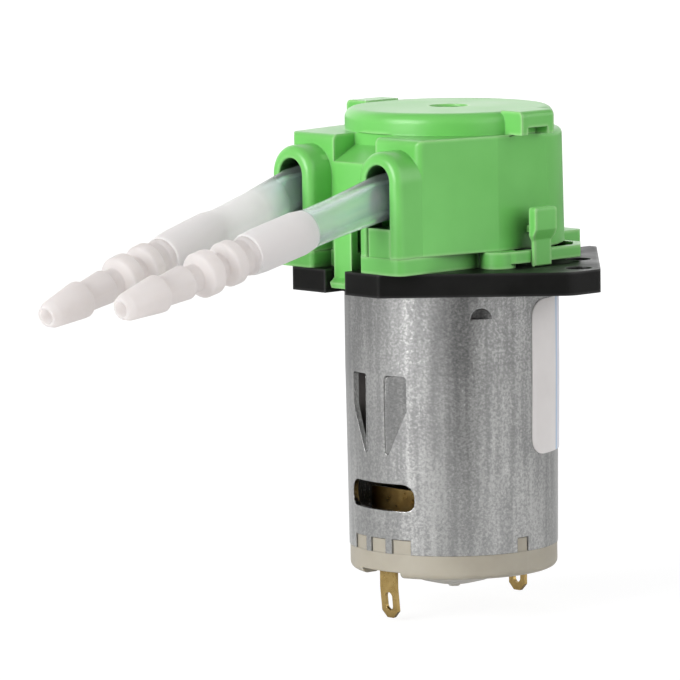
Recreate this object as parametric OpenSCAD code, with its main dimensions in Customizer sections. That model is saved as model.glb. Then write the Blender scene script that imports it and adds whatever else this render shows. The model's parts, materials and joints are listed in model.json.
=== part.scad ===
// Small roller pump for silicone tube, driven by a brushed DC motor.
// Z = 0 is the underside of the mounting plate, the Z axis is the motor shaft,
// and the tube leaves the head towards -Y.

/* [Mounting plate] */
// Thickness of the mounting plate
plate_t = 3; // [2:0.5:5]
// Distance from the shaft to the flat end of each ear
ear_reach = 24.7; // [24.4:0.1:28]
// Length of the flat end of each ear, towards the ports
ear_front = 2.5; // [2:0.5:4]
// Distance from the shaft to the plate's edge under the ports
plate_front = 20.5; // [20:0.5:22]
// Half the width of the plate's edge under the ports
plate_front_half = 8; // [6:0.5:9]
// Distance from the shaft to the plate's rear edge
plate_rear = 21.6; // [21:0.1:24]
// Half the width of the plate's rear edge
plate_rear_half = 5.3; // [4.9:0.1:7]
// Distance from the end of each ear to the centre of its hole
ear_hole_inset = 2.9; // [2.6:0.1:3.4]
// Diameter of the ear holes
ear_hole_d = 3.4; // [3:0.1:3.6]
// How far the ear holes lie behind the shaft
ear_hole_y = 1.6; // [0:0.1:2]

/* [Pump head] */
// Thickness of the pump base under the cover
base_t = 2.15; // [1.8:0.05:3]
// Radius of the tube race inside the cover
race_r = 13.3; // [13.1:0.1:13.6]
// Wall of the cover round the race
cover_wall = 1.5; // [1.3:0.1:2.2]
// Height of the cover's shoulder above the base
shoulder_h = 14.75; // [14.2:0.05:17]
// Height of the round cap above the shoulder
cap_h = 2.85; // [2.6:0.05:4]
// Thickness of the cap's top
cap_top_t = 1.5; // [1:0.1:1.8]
// Rounding of the cap's rim
cap_round = 1.3; // [0.6:0.1:1.4]

/* [Ports] */
// Distance between the two tube ports
port_spacing = 16.2; // [15.6:0.1:16.6]
// Distance from the shaft to the front face of the hoods
hood_front = 20.6; // [20.2:0.1:22]
// Radius of the arched outside of each hood
hood_r = 3.75; // [3.5:0.05:3.9]
// Width of the tube slot in each hood
slot_w = 4.2; // [4.2:0.1:4.6]
// Height of the hood arch's centre above the base
arch_h = 9.65; // [9.4:0.05:10.2]

/* [Tube] */
// Outside diameter of the silicone tube
tube_d = 5; // [4.8:0.1:5]
// Bore of the silicone tube
tube_bore = 3; // [2.6:0.1:3]
// Thickness of the tube where the rollers press it shut
squeezed_t = 1.7; // [1.6:0.05:1.8]
// Height of the tube's centre line inside the head, above the base
tube_h = 8.05; // [7.9:0.05:8.2]

/* [Tube connectors] */
// Length of each connector outside the tube
connector_len = 21.7; // [20:0.1:26]
// Length of the barbed stem inside the tube
stem_len = 9.8; // [7:0.1:10]
// Bore through each connector
connector_bore = 2; // [1.4:0.1:2.2]

/* [Motor] */
// Diameter of the motor can
can_d = 27.7; // [27.5:0.1:27.9]
// How much smaller the can is across its lower end
can_taper = 0.5; // [0:0.1:0.8]
// Length of the motor can
can_len = 34.1; // [33.5:0.1:36]
// Wall of the motor can
can_wall = 0.9; // [0.7:0.1:1]
// Diameter of the motor shaft
shaft_d = 2.3; // [2:0.1:2.4]
// Distance between the two motor screws
motor_screw_spacing = 16; // [15.5:0.5:17]
// Length of the solder terminals below the can
terminal_len = 8.8; // [7:0.1:12]
// Width of the solder terminals
terminal_w = 2.9; // [2:0.1:3.2]

/* [Rollers] */
// Diameter of the drive roller on the motor shaft
sun_d = 3.5; // [3.3:0.1:3.8]
// Height of the three pressing rollers
roller_h = 7.2; // [6.6:0.1:7.6]
// Diameter of the roller pins
pin_d = 2; // [1.6:0.1:2.4]
// How far each latch lever is flexed outwards in this view
latch_open = 0; // [0:1:8]

/* [Hidden] */
$fn = 96;

green = [0.42, 0.75, 0.38];
milky = [0.90, 0.89, 0.86];
cut = 0.05;            // overshoot of every cutter past a face
run_gap = 0.05;        // radial clearance of a running fit
slip_gap = 0.15;       // clearance between pieces that only pass each other

base_z = plate_t;
cover_z = base_z + base_t;
shoulder_z = cover_z + shoulder_h;
cap_z = shoulder_z + cap_h;
body_r = race_r + cover_wall;
body_top_r = body_r - 0.25;   // the cover has a little draft
shoulder_round = 0.8;
cap_r = race_r + 0.2;
port_x = port_spacing / 2;
arch_z = cover_z + arch_h;
tube_z = cover_z + tube_h;
port_drop = 0.6;       // the tube's centre line is this much lower at the ports
flank_x = port_x + hood_r - 0.05;
block_y = 16.8;        // front face of the block that carries the hoods
middle_half = 3.9;     // half the width of the recess between the hoods
flat_x = body_r - 0.7; // flat behind each latch
wall_t = 1.25;         // wall of the cover's port block

// Roller train: drive roller, pressing rollers and squeezed tube fill the race
sun_r = sun_d / 2;
press_reach = race_r - run_gap - squeezed_t - slip_gap;
roller_r = (press_reach - sun_r - run_gap) / 2;
orbit_r = sun_r + run_gap + roller_r;
roller_z = tube_z - roller_h / 2;
flat_h = 0.7 * tube_d;  // half the height of the flattened tube
race_top = tube_z + flat_h + 0.5;
disc_t = 1.5;
disc_r = orbit_r + pin_d / 2 + 2;
lower_disc_z = roller_z - slip_gap - disc_t;
upper_disc_z = roller_z + roller_h + slip_gap;
stub_r = 1.5;
post_r = 1.4;
collar_top = lower_disc_z - 0.1;
shaft_r = shaft_d / 2;

// Motor
can_r = can_d / 2;
can_in = can_r - can_wall;
neck_z = -10.8;        // the can is straight down to here and tapers below
front_z = -0.2;        // inner face of the can's front
seat_t = 0.8;          // depth of the recess in the plate that locates the can
boss_r = 4.2;
boss_h = seat_t + 1.5;
magnet_r = 9.95;
magnet_half = 66;      // half the angle that a magnet covers
core_r = magnet_r - 0.55;
core_z = -can_len + 13.1;
core_len = 13;
comm_r = 3.7;
comm_z = -can_len + 4.7;
comm_len = 4.6;
bell_step = 3.2;       // depth of the bell's rim below the can
bell_z = -can_len - bell_step;
bell_boss_z = bell_z - 2.3;
bell_nub_z = bell_boss_z - 0.5;
brush_y = 7.1;
leaf_half = 7.6;       // half the width of the spring leaf that carries a brush
leaf_z = comm_z + 2.6;
terminal_y = 11.7;
terminal_t = 0.5;
bearing_r = 3;

// Latches
latch_x = body_r + 1.6;
latch_t = 1.25;        // thickness of the head
stem_t = 0.6;          // thickness of the springy stem
latch_head_z = 10.7;
latch_pivot_z = base_z + 0.05 + stem_t / 2;
latch_pivot_x = latch_x + stem_t / 2;
catch_z = 7.2;
catch_h = 0.9;
bow_w = 1;

// Point of an arc
function polar(r, a) = [r * cos(a), r * sin(a)];

// Outline whose corners are rounded, each entry is [x, y, radius]
function unit(v) = v / norm(v);
function corner(a, p, b, r, n) =
    let (ua = unit(a - p), ub = unit(b - p), half = acos(ua * ub) / 2)
    let (c = p + unit(ua + ub) * r / sin(half))
    let (s = p + ua * r / tan(half) - c, e = p + ub * r / tan(half) - c)
    let (a0 = atan2(s[1], s[0]), turn = atan2(e[1], e[0]) - a0)
    let (sweep = turn > 180 ? turn - 360 : turn < -180 ? turn + 360 : turn)
    [for (i = [0:n]) c + polar(r, a0 + sweep * i / n)];
function xy(p) = [p[0], p[1]];
function outline(pts, n = 5) = [for (i = [0:len(pts) - 1])
    let (p = pts[i], a = pts[(i + len(pts) - 1) % len(pts)], b = pts[(i + 1) % len(pts)])
    for (q = p[2] > 0 ? corner(xy(a), xy(p), xy(b), p[2], n) : [xy(p)]) q];
// Outline given for the +X side only, closed by its mirror image
function mirrored(pts) = concat(pts, [for (i = [len(pts) - 1:-1:0]) [-pts[i][0], pts[i][1], pts[i][2]]]);

module slab(pts, z0, z1, n = 5) {
    translate([0, 0, z0]) linear_extrude(z1 - z0) polygon(outline(pts, n));
}

module block(x0, x1, y0, y1, z0, z1) {
    translate([x0, y0, z0]) cube([x1 - x0, y1 - y0, z1 - z0]);
}

module disc(r, z0, z1) {
    translate([0, 0, z0]) cylinder(r = r, h = z1 - z0);
}

module ring(r_out, r_in, z0, z1) {
    difference() {
        disc(r_out, z0, z1);
        disc(r_in, z0 - cut, z1 + cut);
    }
}

module both_sides() {
    children();
    mirror([1, 0, 0]) children();
}

// Mounting plate

notch_half = 1.85;
notch_depth = 2.9;
rear_notch_half = 4;
rear_notch_depth = 2.2;
ear_rear = 2.6;
ear_hole_x = ear_reach - ear_hole_inset;
peg_r = 1.6;
// Peg holes stand inside the sloping rear edges
edge_end = [ear_reach, ear_rear];
edge_run = [plate_rear_half, plate_rear] - edge_end;
edge_dir = unit(edge_run);
peg_hole = edge_end + 0.44 * edge_run + 2.63 * [-edge_dir[1], edge_dir[0]];
screw_r = 1.25;
screw_head_r = 2.2;
screw_head_t = 1.3;

module mounting_plate() {
    plate = mirrored([[plate_front_half, -plate_front, 0.8], [ear_reach, -ear_front, 3],
        [ear_reach, ear_rear, 1.2], [plate_rear_half, plate_rear, 0.8]]);
    color([0.12, 0.12, 0.12]) difference() {
        slab(plate, 0, plate_t, 6);
        block(-notch_half, notch_half, -plate_front - 1, -plate_front + notch_depth, -cut, plate_t + cut);
        block(-rear_notch_half, rear_notch_half, plate_rear - rear_notch_depth, plate_rear + 1,
            -cut, plate_t + cut);
        both_sides() {
            translate([ear_hole_x, ear_hole_y, 0]) disc(ear_hole_d / 2, -cut, plate_t + cut);
            translate([peg_hole[0], peg_hole[1], 0]) disc(peg_r, -cut, plate_t + cut);
            translate([motor_screw_spacing / 2, 0, 0]) {
                disc(screw_r + 0.1, -cut, plate_t + cut);
                disc(screw_head_r + 0.15, plate_t - screw_head_t - 0.05, plate_t + cut);
            }
        }
        disc(boss_r + 0.1, -cut, plate_t + cut);
        disc(can_r + 0.2, -cut, seat_t);
    }
}

// Pump base: floor of the head, tube rests, clip legs and the bows that carry the latches

floor_r = body_r - 1.2;
rest_top = cover_z + 3.7;
leg_half = 1.65;
leg_y = hood_front - 1.5;
leg_t = 1.1;
rear_leg_y = plate_rear - 1;
lug_r = 2.3;

module tube_rest() {
    block(port_x - slot_w / 2 + 0.1, port_x + slot_w / 2 - 0.1, -hood_front + 0.3, -block_y,
        base_z, rest_top);
}

// Clip leg that drops through a notch of the plate, with a hooked foot; y is its outer face
module clip_leg(y, top) {
    rotate([90, 0, 90]) translate([0, 0, -leg_half]) linear_extrude(2 * leg_half)
        polygon([[-y, top], [-y, 1.9], [-y - 0.75, 1.3], [-y - 0.5, 0.6], [-y + leg_t, 0.6],
            [-y + leg_t, top]]);
    block(-leg_half, leg_half, -y + leg_t - cut, -block_y + 0.5, base_z, cover_z);
}

bow_back = floor_r - 3.3;      // rear edge of the band that closes a bow
bow_side = bow_back - 2.85;    // where the outer band turns in

module bow() {
    x1 = latch_x - 0.05;
    x0 = x1 - bow_w;
    z0 = base_z + 0.6;
    turn = bow_back - bow_side;
    difference() {
        slab([[x0 - 4, -5.6, 0], [x1, -5.6, 2.2], [x1, bow_side, 0.3], [x1 - turn, bow_back, 0.3],
            [x0 - 8, bow_back, 0]], z0, cover_z);
        slab([[x0 - 4, -4.6, 0], [x0, -4.6, 1.2], [x0, bow_side - 0.4, 0.2],
            [x0 - turn + 0.6, bow_back - bow_w, 0.2], [x0 - 8, bow_back - bow_w, 0]],
            z0 - cut, cover_z + cut);
        disc(floor_r - 0.5, z0 - cut, cover_z + cut);
    }
}

module pump_base() {
    port_floor = mirrored([[middle_half + 0.5, -block_y - 0.2, 0],
        [middle_half + 0.5, -hood_front + 0.2, 0.6], [flank_x, -hood_front + 0.2, 1.4], [flank_x, -6, 0]]);
    rear_floor = mirrored([[6.9, 5, 0], [6.9, 17.4, 0.8]]);
    color(green) difference() {
        union() {
            disc(floor_r, base_z, cover_z);
            slab(port_floor, base_z, cover_z);
            slab(rear_floor, base_z, cover_z);
            // raised end of the rear tongue, behind the cover
            difference() {
                slab(rear_floor, cover_z - cut, cover_z + 0.6);
                disc(body_r + 0.15, cover_z - 2 * cut, cover_z + 1);
            }
            both_sides() {
                tube_rest();
                translate([floor_r, -4.8, 0]) disc(lug_r, base_z, cover_z - 0.02);
                bow();
            }
            clip_leg(leg_y, cover_z + 5);
            mirror([0, 1, 0]) clip_leg(rear_leg_y, cover_z);
            ring(race_r - 0.2, race_r - 1.3, cover_z - cut, cover_z + 1.4);
            disc(4.6, cover_z - cut, collar_top);
        }
        disc(shaft_r + 1.4, base_z - cut, collar_top + cut);
        // way for the tube over the register ring
        block(-race_r, race_r, -race_r - 1, -7.5, cover_z, cover_z + 2);
    }
}

// Cover: race, port block, hoods, cap, grip brackets and latch catches

hood_back = 15.5;
hood_edge = 1.1;
arch_in = slot_w / 2;
bracket_out = body_r + 1.5;
bracket_half = 2.85;
bracket_leg = 1.1;
bracket_top = cap_z + 0.15;

flat_half = 6;
catch_out = 1.3;       // how far a latch catch stands out of its flat
catch_half = 0.9;
hook_y = 0.9;          // the catches stand this far behind the middle of the latches

// Wall of a hood, cut square to the arch: first value is the distance from the arch's centre
function hood_wall(sign) = [for (p = outline([[arch_in, -hood_back, 0], [arch_in, -hood_front, 0.3],
    [hood_r, -hood_front, hood_edge], [hood_r, -hood_back, 0]], 5)) [sign * p[0], p[1]]];

module hood_arch() {
    translate([port_x, 0, arch_z]) rotate([-90, 0, 0]) rotate([0, 0, 180])
        rotate_extrude(angle = 180) polygon(hood_wall(1));
}

module hood_jambs() {
    translate([port_x, 0, cover_z]) linear_extrude(arch_h) {
        polygon(hood_wall(1));
        polygon(hood_wall(-1));
    }
}

// Where the flat flank of the port block meets the round body
flank_p = [flank_x, -block_y + 0.6];
flank_a = atan2(flank_p[1], flank_p[0]) + acos(body_r / norm(flank_p));
flank_t = polar(body_r, flank_a);

module port_block() {
    intersection() {
        slab(mirrored([[flank_x, -block_y, 1], [flank_t[0], flank_t[1], 0]]), cover_z, shoulder_z);
        rotate([90, 0, 90]) translate([0, 0, -body_r - 1]) linear_extrude(2 * body_r + 2)
            polygon(outline([[-block_y, cover_z - 1, 0], [-block_y, shoulder_z, shoulder_round],
                [body_r, shoulder_z, 0], [body_r, cover_z - 1, 0]], 6));
    }
}

module round_body() {
    rotate_extrude() polygon(outline([[0, cover_z, 0], [body_r, cover_z, 0],
        [body_top_r, shoulder_z, shoulder_round], [0, shoulder_z, 0]], 6));
}

module port_way() {
    slab([[middle_half + 1.4, -block_y - 1, 0], [port_x + arch_in, -block_y - 1, 0],
        [flank_x - wall_t, -block_y + wall_t, 0], [flank_t[0] - wall_t, flank_t[1], 0],
        [race_r - 3, flank_t[1] + 1, 0], [middle_half + 1.4, -9, 0]],
        cover_z - cut, arch_z + arch_in);
}

module bracket() {
    rotate([90, 0, 0]) translate([0, 0, -bracket_half]) linear_extrude(2 * bracket_half)
        polygon(outline([[cap_r - 1, shoulder_z - 0.05, 0], [bracket_out, shoulder_z - 0.05, 0.2],
            [bracket_out, bracket_top, 0.7], [cap_r - 1, bracket_top, 0]], 5));
}

module bracket_gap() {
    block(flat_x, bracket_out + 1, -bracket_half + bracket_leg, bracket_half - bracket_leg,
        shoulder_z - 1, shoulder_z + 0.9);
}

module cap_outside() {
    rotate_extrude() polygon(outline([[0, shoulder_z - 1, 0], [cap_r, shoulder_z - 1, 0],
        [cap_r, cap_z, cap_round], [0, cap_z, 0]], 8));
}

module pump_cover() {
    color(green) difference() {
        union() {
            round_body();
            port_block();
            cap_outside();
            both_sides() {
                hood_arch();
                hood_jambs();
                bracket();
            }
        }
        // flats behind the latches
        both_sides() difference() {
            block(flat_x, body_r + 0.5, -flat_half, flat_half, cover_z - cut, shoulder_z - 0.1);
            block(flat_x - 1, flat_x + catch_out, hook_y - catch_half, hook_y + catch_half,
                catch_z, catch_z + catch_h);
        }
        both_sides() bracket_gap();
        // stepped recess between the hoods
        rotate([90, 0, 90]) translate([0, 0, -middle_half]) linear_extrude(2 * middle_half)
            polygon([[-block_y - 1, shoulder_z - 3.7], [-block_y + 0.1, shoulder_z - 3.4],
                [-cap_r + 0.4, shoulder_z - 1.5], [-cap_r + 0.4, shoulder_z + 0.1],
                [-block_y - 1, shoulder_z + 0.1]]);
        // race, cap hollow and tube ways
        disc(race_r, cover_z - cut, race_top);
        disc(race_r - 1.3, race_top - cut, cap_z - cap_top_t);
        both_sides() port_way();
        // dimple in the cap
        disc(2.55, cap_z - 0.35, cap_z + 1);
    }
    // bearing boss under the cap
    color(green) ring(stub_r + run_gap + 1.4, stub_r + run_gap, upper_disc_z + disc_t + 0.1,
        cap_z - cap_top_t + cut);
}

// Tube: one length of silicone tube, flattened along the race by the rollers

free_near = 23;        // straight tube outside the near port
free_far = 24.6;
near_dir = [1, 12.95]; // degrees towards +X and degrees down
far_dir = [5.2, 14.8];
turn_start = -17;
squeezed_r = race_r - run_gap - squeezed_t / 2;
oval_w = slot_w / 2 - 0.1;
oval_h = 2.95;
stem_r = 2;
// The stem widens the tube, whose wall keeps its cross-section
stretch = sqrt(pow(tube_d / 2, 2) - pow(tube_bore / 2, 2) + pow(stem_r, 2)) - tube_d / 2;
pocket_f = (stem_r + 0.08) / (tube_d / 2 + stretch);

function aim(dir) = [sin(dir[0]) * cos(dir[1]), -cos(dir[0]) * cos(dir[1]), -sin(dir[1])];
function port(side) = [side * port_x, -hood_front, tube_z - port_drop];
// Rings of the tube: centre, half width, half height; s is the distance from the port
function swell(u) = u > 0 ? 0 : u > -2 ? stretch * (0.55 - u * 0.225) : stretch;
function free_ring(side, dir, s, extra) = let (f = max(0, (8 - s) / 8)) [port(side) + s * aim(dir),
    extra + tube_d / 2 + (oval_w - tube_d / 2) * f, extra + tube_d / 2 + (oval_h - tube_d / 2) * f];
function free_rings(side, dir, free) = concat(
    [for (u = [0, 0.5, 2, 5, stem_len - 1.2]) free_ring(side, dir, free - u, swell(-u - 0.01))],
    [for (s = [free - stem_len - 0.8, 7, 3]) free_ring(side, dir, s, 0)]);
function inside_rings(side) = [
    [port(side), oval_w, oval_h],
    [[side * port_x, -hood_front + 2.4, tube_z - 0.25], oval_w, oval_h],
    [[side * (port_x + 0.05), -hood_back, tube_z - 0.05], oval_w, oval_h],
    [[side * (port_x + 1), -12, tube_z], oval_w - 0.05, oval_h],
    [[side * (squeezed_r - 2.55), -9, tube_z], 1.7, 3.1],
    [[side * (squeezed_r - 1.4), -6.2, tube_z], 1.25, 3.3]];
function race_ring(a) = [concat(polar(squeezed_r, a), [tube_z]), squeezed_t / 2, flat_h];
function back(list) = [for (i = [len(list) - 1:-1:0]) list[i]];

function tube_rings() = concat(free_rings(1, near_dir, free_near), inside_rings(1),
    [for (i = [0:24]) race_ring(turn_start + (180 - 2 * turn_start) * i / 24)],
    back(inside_rings(-1)), back(free_rings(-1, far_dir, free_far)));

sides = 16;
function lead(rings, i) = unit(rings[min(i + 1, len(rings) - 1)][0] - rings[max(i - 1, 0)][0]);
function ring_points(rings, i, scale_r) =
    let (t = lead(rings, i), n = unit([t[1], -t[0], 0]), b = cross(t, n), c = rings[i])
    [for (k = [0:sides - 1]) let (a = 360 * k / sides)
        c[0] + n * c[1] * scale_r * cos(a) + b * c[2] * scale_r * sin(a)];

module pump_tube() {
    rings = tube_rings();
    count = len(rings);
    last = count - 1;
    // a skin of rings from the bottom of one stem pocket, over the outside, to the other pocket
    pocket = 5;
    skin = concat([for (i = [pocket:-1:0]) ring_points(rings, i, pocket_f)],
        [for (i = [0:last]) ring_points(rings, i, 1)],
        [for (i = [last:-1:last - pocket]) ring_points(rings, i, pocket_f)]);
    layers = len(skin);
    points = [for (layer = skin) for (p = layer) p];
    walls = [for (j = [0:layers - 2]) for (k = [0:sides - 1])
        let (a = j * sides + k, b = j * sides + (k + 1) % sides)
            for (f = [[a, b, b + sides], [a, b + sides, a + sides]]) f];
    caps = [[for (k = [sides - 1:-1:0]) k], [for (k = [0:sides - 1]) (layers - 1) * sides + k]];
    color([0.80, 0.86, 0.83]) polyhedron(points, concat(walls, caps));
}

// Barbed connector, turned about its own axis, s = 0 at the end of the tube, +s towards the tip
module connector() {
    s = connector_len;
    bore = connector_bore / 2;
    rotate_extrude($fn = 64) polygon(outline([
        [bore, -stem_len, 0], [stem_r - 0.3, -stem_len, 0.15],
        [stem_r, -stem_len + 1.4, 0], [stem_r - 0.15, -stem_len + 1.6, 0],
        [stem_r, -stem_len + 4, 0], [stem_r - 0.15, -stem_len + 4.2, 0],
        [stem_r, -3, 0.2], [stem_r - 0.2, -1.6, 0], [stem_r - 0.2, 0, 0],
        [2.5, 0, 0.15], [2.5, 0.6, 0.15], [2.25, 0.9, 0.1], [2.25, 2.1, 0.15],
        [2.85, 2.6, 0.4], [2.85, 4.1, 0.4], [1.7, 4.7, 0.2], [1.7, 5.8, 0.2],
        [2.9, 6.5, 0.4], [2.9, 8.4, 0.4], [1.75, 9.1, 0.2], [1.75, 10.5, 0.2],
        [2.2, 11, 0.15], [1.9, 15, 0.2], [2.4, 15.4, 0.2], [2.35, 16.1, 0.2],
        [1.75, s - 0.95, 0.2], [1.35, s, 0.15], [bore, s, 0]], 4));
}

module place_connector(side, dir, free) {
    translate(port(side) + free * aim(dir)) rotate([0, 0, dir[0]]) rotate([90 + dir[1], 0, 0]) connector();
}

module near_connector() { color(milky) place_connector(1, near_dir, free_near); }
module far_connector() { color(milky) place_connector(-1, far_dir, free_far); }

// Latch levers

head_half = 1.9;
stem_half = 1.48;
nose_half = 0.7;

module latch() {
    z1 = latch_head_z;
    x1 = latch_x + latch_t;
    nose_z = catch_z + catch_h + 0.1;
    color(green) {
        intersection() {
            rotate([90, 0, 0]) linear_extrude(6, center = true) polygon(outline([
                [latch_x, latch_pivot_z, 0], [latch_x + stem_t, latch_pivot_z, 0],
                [latch_x + stem_t, 6.5, 0.5],
                [x1, 7.8, 0.5], [x1, z1, 0.4], [latch_x, z1, 0.2]], 4));
            rotate([90, 0, 90]) translate([0, 0, latch_x - 1]) linear_extrude(4)
                polygon(outline(mirrored([[stem_half, latch_pivot_z, 0], [stem_half, 6.3, 0.4],
                    [head_half, 7, 0.4], [head_half, z1, 0.5]]), 4));
        }
        // round foot on the turning axis
        translate([latch_pivot_x, 0, latch_pivot_z]) rotate([90, 0, 0])
            cylinder(r = stem_t / 2, h = 2 * stem_half, center = true);
        // nose that hooks over the cover's catch
        translate([0, hook_y, 0]) rotate([90, 0, 0]) linear_extrude(2 * nose_half, center = true)
            polygon([[latch_x + 0.1, nose_z], [latch_x - 1.5, nose_z], [latch_x - 1.5, nose_z + 0.6],
                [latch_x + 0.1, nose_z + 1.5]]);
    }
}

module latch_at() {
    translate([latch_pivot_x, 0, latch_pivot_z]) rotate([0, latch_open, 0])
        translate([-latch_pivot_x, 0, -latch_pivot_z]) latch();
}

module latch_right() { latch_at(); }
module latch_left() { mirror([1, 0, 0]) latch_at(); }

// Roller carrier

module at_rollers() {
    for (i = [0:2]) rotate(120 * i) translate([orbit_r, 0, 0]) children();
}

module at_posts() {
    for (i = [0:2]) rotate(60 + 120 * i) translate([orbit_r + 1.4, 0, 0]) children();
}

module carrier_disc(z) {
    difference() {
        disc(disc_r, z, z + disc_t);
        at_rollers() disc(pin_d / 2, z - cut, z + disc_t + cut);
    }
}

module carrier_lower() {
    color([0.93, 0.93, 0.90]) {
        difference() {
            carrier_disc(lower_disc_z);
            disc(shaft_r + 0.3, lower_disc_z - cut, lower_disc_z + disc_t + cut);
        }
        at_posts() {
            disc(post_r, lower_disc_z + disc_t - cut, upper_disc_z);
            disc(post_r - 0.6, upper_disc_z - cut, upper_disc_z + disc_t);
        }
    }
}

module carrier_upper() {
    color([0.93, 0.93, 0.90]) {
        difference() {
            carrier_disc(upper_disc_z);
            at_posts() disc(post_r - 0.6, upper_disc_z - cut, upper_disc_z + disc_t + cut);
        }
        disc(stub_r, upper_disc_z + disc_t - cut, cap_z - cap_top_t - 0.3);
    }
}

module roller_pins() {
    color([0.75, 0.76, 0.78]) at_rollers() disc(pin_d / 2, lower_disc_z, upper_disc_z + disc_t);
}

module roller() {
    z1 = roller_z + roller_h;
    color([0.95, 0.95, 0.93]) rotate_extrude() polygon(outline([[pin_d / 2 + run_gap, roller_z, 0],
        [roller_r, roller_z, 0.4], [roller_r, z1, 0.4], [pin_d / 2 + run_gap, z1, 0]], 4));
}

module roller_1() { translate([orbit_r, 0, 0]) roller(); }
module roller_2() { rotate(120) translate([orbit_r, 0, 0]) roller(); }
module roller_3() { rotate(240) translate([orbit_r, 0, 0]) roller(); }

// Rotor

module drive_roller() {
    color([0.35, 0.35, 0.36]) ring(sun_r, shaft_r, roller_z + 0.1, roller_z + roller_h - 0.1);
}

shaft_top = roller_z + roller_h - 0.1;
shaft_bottom = bell_boss_z + 0.7;

module motor_shaft() {
    color([0.78, 0.79, 0.80]) disc(shaft_r, shaft_bottom, shaft_top);
}

poles = 5;
neck_w = 2.2;
shoe_t = 1.6;
slot_gap = 1.4;        // width of the gap between pole shoes
hub_r = 3.6;

module armature_core() {
    color([0.50, 0.50, 0.52]) difference() {
        disc(core_r, core_z, core_z + core_len);
        disc(shaft_r, core_z - cut, core_z + core_len + cut);
        for (i = [0:poles - 1]) rotate(360 * (i + 0.5) / poles) {
            block(hub_r, core_r + 1, -slot_gap / 2, slot_gap / 2, core_z - cut, core_z + core_len + cut);
            translate([0, 0, core_z - cut]) linear_extrude(core_len + 2 * cut) difference() {
                intersection() {
                    polygon(winding_space());
                    circle(r = core_r - shoe_t);
                }
                circle(r = hub_r);
            }
        }
    }
}

// Space between two necks, seen along the shaft
function winding_space() = let (h = neck_w / 2 / sin(180 / poles), far = 2 * core_r)
    [[h, 0], [h + far * cos(180 / poles), far * sin(180 / poles)],
        [h + far * cos(180 / poles), -far * sin(180 / poles)]];

module coil() {
    x0 = hub_r + 0.8;
    x1 = core_r - shoe_t - 0.7;
    difference() {
        block(x0, x1, -neck_w / 2 - 1.3, neck_w / 2 + 1.3, core_z - 1.8, core_z + core_len + 1.8);
        block(x0 - 1, x1 + 1, -neck_w / 2, neck_w / 2, core_z, core_z + core_len);
    }
}

module armature_windings() {
    color([0.72, 0.40, 0.18]) for (i = [0:poles - 1]) rotate(360 * i / poles) coil();
}

module commutator() {
    color([0.80, 0.52, 0.28]) difference() {
        union() {
            disc(comm_r, comm_z, comm_z + comm_len);
            disc(comm_r + 0.5, comm_z + comm_len - 0.6, comm_z + comm_len);
            disc(2.2, comm_z + comm_len - cut, core_z);
        }
        disc(shaft_r, comm_z - cut, core_z + cut);
        for (i = [0:poles - 1]) rotate(360 * (i + 0.5) / poles)
            block(comm_r - 0.7, comm_r + 2, -0.2, 0.2, comm_z - cut, comm_z + comm_len + cut);
    }
}

washer_t = 0.5;
module shaft_washers() {
    color([0.30, 0.28, 0.26]) {
        ring(2.6, shaft_r, core_z + core_len, core_z + core_len + 2.6);
        ring(2.2, shaft_r, comm_z - washer_t, comm_z);
    }
}

// Motor housing

module front_bearing() {
    color([0.70, 0.58, 0.36]) ring(bearing_r, shaft_r + 0.05, front_z - 0.8, boss_h - 0.4);
}

module rear_bearing() {
    color([0.70, 0.58, 0.36]) ring(bearing_r - 0.4, shaft_r + 0.05, bell_z - 1.6, bell_z + 1.7);
}

vent_half = 5.7;
vent_z0 = -0.836 * can_len;
vent_z1 = -0.733 * can_len;
window_in = 1.56;
window_out = 4.9;
window_top = -0.3226 * can_len;
window_mid = -0.4516 * can_len;
window_low = -0.6276 * can_len;
tongue_t = 0.6;
tongue_turn = 43;      // from the X direction, so that each tongue leans into the can

// Cuts through the can's wall on the -Y side
module wall_cut(pts) {
    rotate([90, 0, 0]) translate([0, 0, can_in - 4]) linear_extrude(6) polygon(outline(pts, 4));
}

// Outline that starts x0 from the strip between the windows
function window(x0, grow) = [[x0 - grow, window_top + grow, 0.5],
    [window_out + grow, window_top + grow, 0.5], [window_out + grow, window_mid, 0.4],
    [window_in + 0.5, window_low - grow, 0.3], [x0 - grow, window_low + 0.4, 0.2]];

// Tongue cut free on three sides and bent inwards along the strip between the windows
module tongue() {
    translate([window_in, -can_in - 0.15, 0]) rotate([0, 0, tongue_turn]) rotate([90, 0, 0])
        translate([-window_in, 0, 0]) linear_extrude(tongue_t)
            polygon(outline(window(window_in - 0.3, -0.1), 4));
}

lance_r = 1.45;
lance_z = -3.6;
lance_angles = [-28, 28, 152, 208];

// Upper half of a ball sunk in the can's wall
module half_ball(a, r) {
    rotate(a) translate([can_r - 0.3, 0, lance_z]) intersection() {
        sphere(r = r);
        disc(r + 1, 0, r + 1);
    }
}

side_turn = 3;

// Notches between the feet of the can
module foot_cuts(gap) {
    z0 = -can_len - cut;
    z1 = -can_len + 1.9 - gap;
    difference() {
        block(-5.1 + gap, 5.1 - gap, -can_r - 1, -can_in + 4, z0, z1);
        for (x = [-1.85, 1.85]) block(x - 0.5 - gap, x + 0.5 + gap, -can_r - 2, -can_in + 5, z0 - 1, z1 + 1);
    }
    rotate(90 - side_turn) block(-0.95 + gap, 0.95 - gap, -can_r - 1, -can_in + 2, z0, z1);
}

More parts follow.
